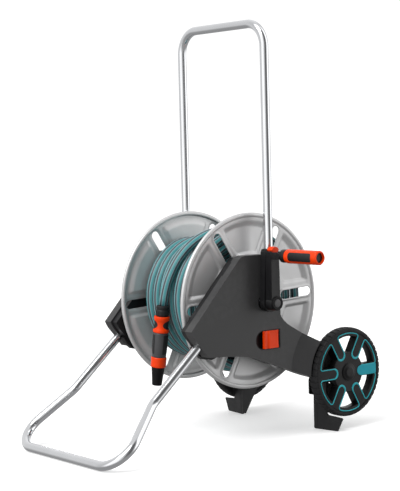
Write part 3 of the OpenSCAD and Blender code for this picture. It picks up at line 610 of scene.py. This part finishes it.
# (radius, distance from the tyre's middle) of half its section, from the bore to the tread's middle
TYRE_HALF = [(83, 11.5), (86, 11.5), (88, 11.5), (89.2, 11), (90.6, 10.3), (91, 9.5), (91.6, 7.5), (92, 5.5)]
TYRE_MIDDLE = 159.5
# a block and the groove after it: (share of the pitch, share of the groove's depth)
TREAD_STEPS = ((0.0, 0.0), (0.36, 0.0), (0.72, 0.0), (0.79, 1.0), (0.93, 1.0))


def wheel_point(side, x, r, w):
    """A point of a wheel, from its distance out and its radius in mm and its angle in radians."""
    return (side * x * MM, AXLE_Y + r * MM * math.cos(w), AXLE_Z + r * MM * math.sin(w))


def tyre_mesh(side):
    """The tyre with grooves moulded across its tread."""
    section = [(r, -off) for r, off in TYRE_HALF] + [(92, 0)] + [(r, off) for r, off in reversed(TYRE_HALF)]
    n = len(section)
    verts, faces = [], []
    for block in range(TREAD_BLOCKS):
        for part, deep in TREAD_STEPS:
            for r, off in section:
                # the grooves run a little aslant
                w = 2 * math.pi * (block + part + 0.012 * off) / TREAD_BLOCKS
                cut = GROOVE_DEPTH * deep * min(1.0, max(0.0, (r - 86.0) / 3.2))
                verts.append(wheel_point(side, TYRE_MIDDLE + off, r - cut, w))
    rings = TREAD_BLOCKS * len(TREAD_STEPS)
    for i in range(rings):
        j = (i + 1) % rings
        for k in range(n):
            k2 = (k + 1) % n
            f = (i * n + k, j * n + k, j * n + k2, i * n + k2)
            faces.append(f if side > 0 else f[::-1])
    return verts, faces


for side, name in BOTH_SIDES:
    verts, faces = tyre_mesh(side)
    tyre = add_mesh("tyre_tread_" + name, verts, faces, M["tyre"], "wheel_" + name)
    edges = tyre.modifiers.new("edges", "EDGE_SPLIT")
    edges.split_angle = math.radians(32)
    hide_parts("tyre_" + name)


def line_path():
    """The teal line's closed path in the wheel's plane, in mm: round each spoke and along the rim."""
    half_spoke, r_rim, r_tip, corner_r = 10.2, 80.3, 42.0, 5.0
    r_corner = r_rim - corner_r
    u_corner = math.sqrt(r_corner ** 2 - (half_spoke + corner_r) ** 2)
    corner = arc((u_corner, half_spoke + corner_r), corner_r, 0, -90, 6)
    side_in = straight((u_corner, half_spoke), (r_tip, half_spoke), 8)[:-1]
    outline = [(u, -p) for u, p in corner + side_in]
    outline += arc((r_tip, 0), half_spoke, -90, -270, 12)
    outline += list(reversed(side_in)) + list(reversed(corner))
    corner_end = math.hypot(*corner[0])
    corner_angle = math.atan2(corner[0][1], corner[0][0])
    path = []
    for k in range(SPOKES):
        a = 2 * math.pi * k / SPOKES
        c, s = math.cos(a), math.sin(a)
        path += [(u * c - p * s, u * s + p * c) for u, p in outline]
        # along the rim to the next spoke
        gap = 2 * math.pi / SPOKES - 2 * corner_angle
        for q in range(1, 10):
            w = a + corner_angle + gap * q / 10
            r = corner_end + (r_rim - corner_end) * math.sin(math.pi * q / 10) ** 0.5
            path.append((r * math.cos(w), r * math.sin(w)))
    return np.array(path)


LINE_HALF = 1.15
LINE_FACE = 170.0
# the raised line's section: (share of its half width, height)
LINE_SECTION = [(-1.0, 0.0), (-0.85, 0.495), (-0.4, 0.715), (0.4, 0.715), (0.85, 0.495), (1.0, 0.0)]


def wheel_line(side):
    """Raised teal line on the wheel's face, wider round the inner ends of the spokes."""
    path = line_path()
    ahead = np.roll(path, -1, 0) - np.roll(path, 1, 0)
    ahead /= np.linalg.norm(ahead, axis=1)[:, None]
    across = np.stack([ahead[:, 1], -ahead[:, 0]], 1)
    half = LINE_HALF + 1.1 * np.clip((44.0 - np.hypot(path[:, 0], path[:, 1])) / 8.0, 0, 1)
    verts = []
    for p, out, wide in zip(path, across, half):
        for share, height in LINE_SECTION:
            y, z = p + out * share * wide
            verts.append((side * (LINE_FACE + height) * MM, AXLE_Y + y * MM, AXLE_Z + z * MM))
    n, m = len(path), len(LINE_SECTION)
    faces = []
    for i in range(n):
        j = (i + 1) % n
        for k in range(m - 1):
            f = (i * m + k, j * m + k, j * m + k + 1, i * m + k + 1)
            faces.append(f if side > 0 else f[::-1])
    return verts, faces


for side, name in BOTH_SIDES:
    verts, faces = wheel_line(side)
    add_mesh("wheel_line_" + name, verts, faces, M["line"], "wheel_" + name)

# ---------------------------------------------------------------- grips of the connector and nozzle

# the direction that the grips' angles are counted from, about the upright
FRONT = math.radians(-48)
# (distance down from HANG, radius) of the turned parts below it, in mm
CONNECTOR = [(22, 14.8), (23, 15.8), (28, 15.8), (33, 14.2), (38, 13.8), (45, 14.4), (50, 16.2), (53.5, 16.2)]
NOZZLE = [(55, 14.6), (56.5, 15.6), (66, 15.4), (84, 15), (104.6, 14.2)]
NUT = [(10, 12.7), (20.4, 12.7)]
NUT_RIBS = 12


def grip_patch(name, profile, centre, half, span, lift, oval):
    """Thin soft patch on a turned part of the nozzle, an oval or a strip with square ends.
    centre and half are angles in degrees; span is where it starts and ends, measured down from HANG."""
    toward = Vector((math.cos(FRONT), math.sin(FRONT), 0.0))
    toward = (toward - HANG_DIR * toward.dot(HANG_DIR)).normalized()
    aside = HANG_DIR.cross(toward)
    distances, radii = zip(*profile)
    rows, columns = 19, 25
    verts, faces = [], []
    for i in range(rows):
        v = -1 + 2 * i / (rows - 1)
        wide = half * math.sqrt(max(0.0, 1 - v * v)) if oval else half
        along = span[0] + (span[1] - span[0]) * (v + 1) / 2
        for j in range(columns):
            u = -1 + 2 * j / (columns - 1)
            a = math.radians(centre + wide * u)
            # the patch's edge lies 0.15 mm under the surface
            raised = lift * min(1.0, (1 - max(abs(u), abs(v))) / 0.16) - 0.15
            r = float(np.interp(along, distances, radii)) + raised
            out = toward * math.cos(a) + aside * math.sin(a)
            verts.append(tuple(HANG + out * (r * MM) + HANG_DIR * (along * MM)))
    for i in range(rows - 1):
        for j in range(columns - 1):
            a, b = i * columns + j, (i + 1) * columns + j
            faces.append((a, a + 1, b + 1, b))
    return add_mesh(name, verts, faces, M["soft"], "drum")


for k, centre in enumerate((-92, 92)):
    grip_patch("connector_recess_%d" % (k + 1), CONNECTOR, centre, 74, (29, 48.5), 0.35, True)
for k, centre in enumerate((-93, 93)):
    grip_patch("nozzle_grip_%d" % (k + 1), NOZZLE, centre, 62, (57.5, 99), 0.5, False)
for k in range(NUT_RIBS):
    centre = 360 / NUT_RIBS * k
    grip_patch("nut_rib_%02d" % (k + 1), NUT, centre, 5.5, (10.4, 19.8), 0.75, False)

# ---------------------------------------------------------------- disc in the crank's cap

CAP_FACE = 0.1798
verts, faces = lathe([(0.0, 0.45), (4.0, 0.42), (7.4, 0.30), (7.9, 0.10), (8.0, -0.3)], 64)
verts = [(CAP_FACE + z * MM, x * MM, DRUM_Z + y * MM) for x, y, z in verts]
add_mesh("crank_disc", verts, faces, M["disc"], "drum")

# ---------------------------------------------------------------- spring under the release button

SPRING_X, SPRING_Y = 0.170, -0.0043
SPRING_FOOT, SPRING_TOP = 0.362, 0.370
SPRING_R, SPRING_WIRE = 0.0037, 0.00045
SPRING_TURNS = 5.5
SPRING_SIDES = 8


def coil_points():
    """Centreline of the compression spring, whose end turns lie flat."""
    low, high = SPRING_FOOT + SPRING_WIRE, SPRING_TOP - SPRING_WIRE
    steps = int(SPRING_TURNS * 24)
    pts = []
    for i in range(steps + 1):
        turn = SPRING_TURNS * i / steps
        rise = min(1.0, max(0.0, (turn - 0.8) / (SPRING_TURNS - 1.6)))
        w = 2 * math.pi * turn
        pts.append((SPRING_X + SPRING_R * math.cos(w), SPRING_Y + SPRING_R * math.sin(w),
                    low + (high - low) * rise))
    return pts


coil = coil_points()
verts, faces = sweep(coil, SPRING_WIRE, SPRING_SIDES, lambda p: (0, 0, 1))
cap(faces, SPRING_SIDES, len(coil))
spring = add_mesh("button_coil", verts, faces, M["steel"], "drum")
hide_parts("button_spring")
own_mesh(spring)

# ---------------------------------------------------------------- studio

FLOOR_HALF = 4.0
# just under the feet, so that the two surfaces don't lie in one plane
FLOOR_Z = -0.0006


def add_floor():
    """A plain pale floor that throws no light back onto the object."""
    corners = [(x * FLOOR_HALF, y * FLOOR_HALF, FLOOR_Z) for x, y in ((-1, -1), (1, -1), (1, 1), (-1, 1))]
    me = bpy.data.meshes.new("floor")
    me.from_pydata(corners, [], [(0, 1, 2, 3)])
    floor = bpy.data.objects.new("floor", me)
    bpy.context.scene.collection.objects.link(floor)
    mat, nt, bsdf = node_material("floor")
    tex = new_node(nt, "ShaderNodeTexCoord")
    cloud = noise(nt, tex.outputs["Object"], 1.5)
    nt.links.new(mix(nt, cloud, (0.80, 0.80, 0.80), (0.82, 0.82, 0.82)), bsdf.inputs["Base Color"])
    bsdf.inputs["Roughness"].default_value = 0.9
    bsdf.inputs["Emission Color"].default_value = (1.0, 1.0, 1.0, 1.0)
    bsdf.inputs["Emission Strength"].default_value = 0.35
    me.materials.append(mat)
    floor.visible_diffuse = False
    floor.visible_glossy = False


# brightness round the horizon by azimuth in degrees: soft boxes to the front left and the back
# right, and an unlit side between them
PANELS = [(-180, 0.72), (-150, 0.66), (-122, 0.55), (-95, 1.15), (-62, 1.10), (-38, 0.62), (-20, 0.16),
          (8, 0.10), (26, 0.36), (45, 1.60), (70, 1.05), (95, 0.50), (140, 0.85), (180, 0.72)]


def add_studio():
    """Surroundings for the light and the reflections; the camera itself sees plain white."""
    world = bpy.data.worlds.new("studio")
    bpy.context.scene.world = world
    world.use_nodes = True
    nt = world.node_tree
    background = nt.nodes["Background"]
    tex = new_node(nt, "ShaderNodeTexCoord")
    split = new_node(nt, "ShaderNodeSeparateXYZ")
    nt.links.new(tex.outputs["Generated"], split.inputs[0])
    azimuth = new_node(nt, "ShaderNodeMath", operation="ARCTAN2")
    nt.links.new(split.outputs[1], azimuth.inputs[0])
    nt.links.new(split.outputs[0], azimuth.inputs[1])
    panels = new_node(nt, "ShaderNodeValToRGB")
    panels.color_ramp.interpolation = "EASE"
    while len(panels.color_ramp.elements) < len(PANELS):
        panels.color_ramp.elements.new(0.5)
    for element, (degrees, value) in zip(panels.color_ramp.elements, PANELS):
        element.position = (degrees + 180) / 360
        element.color = (value, value, value, 1)
    nt.links.new(remap(nt, azimuth.outputs[0], -math.pi, math.pi, 0.0, 1.0), panels.inputs[0])
    overhead = remap(nt, split.outputs[2], 0.84, 1.0, 0.0, 1.0)
    underfoot = remap(nt, split.outputs[2], -0.45, -0.08, 1.0, 0.0)
    sky = mix(nt, overhead, panels.outputs[0], (0.70, 0.70, 0.70))
    sky = mix(nt, underfoot, sky, (0.30, 0.30, 0.30))
    seen = new_node(nt, "ShaderNodeLightPath")
    nt.links.new(mix(nt, seen.outputs["Is Camera Ray"], sky, (1.0, 1.0, 1.0)), background.inputs["Color"])
    background.inputs["Strength"].default_value = 1.12


def add_sun(name, toward, power, spread):
    """A soft, even light that comes from the given direction."""
    data = bpy.data.lights.new(name, "SUN")
    data.energy = power
    data.angle = math.radians(spread)
    ob = bpy.data.objects.new(name, data)
    bpy.context.scene.collection.objects.link(ob)
    ob.matrix_world = (-Vector(toward)).to_track_quat("-Z", "Y").to_matrix().to_4x4()


add_floor()
add_studio()
add_sun("key", (0.1, -0.8, 1.0), 1.9, 36)
bpy.context.scene.view_settings.view_transform = "Standard"
